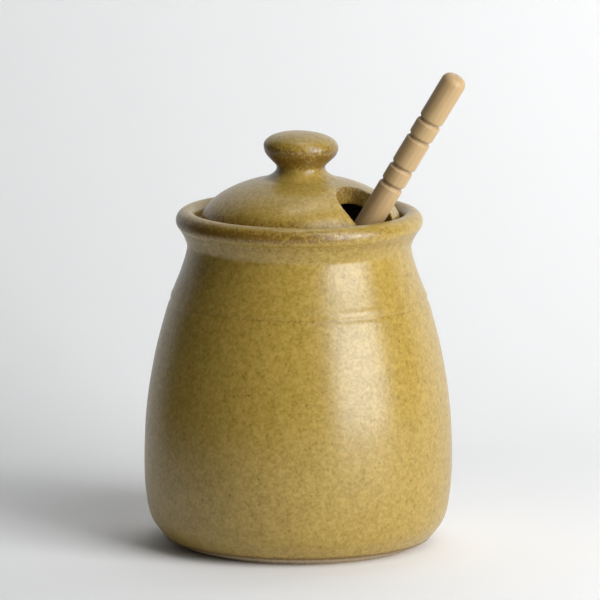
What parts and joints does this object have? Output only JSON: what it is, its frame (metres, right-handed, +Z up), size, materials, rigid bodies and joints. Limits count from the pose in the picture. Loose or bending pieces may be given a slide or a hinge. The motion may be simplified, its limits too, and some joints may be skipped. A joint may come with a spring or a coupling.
{
  "type": "honey pot",
  "caption": "Round stoneware honey pot with a waisted neck and rolled lip, a domed lid with a knob and a dipper notch, and a turned wooden dipper leaning out.",
  "frame": {"origin": "centre of the jar's flat foot, on the surface it stands on", "axes": "+Z up along the jar's axis; -Y towards the picture's camera; +X to its right, the side the dipper leans to"},
  "size_m": [0.1154, 0.1122, 0.1765],
  "materials": {
    "glaze": "satin ochre glaze with fine brown specks that breaks darker on edges, bare buff clay at the foot",
    "wood": "pale fine-grained beech, sanded, not varnished"
  },
  "bodies": {
    "root": {"jar": "glaze", "lid": "glaze", "dipper": "wood"}
  },
  "joints": []
}
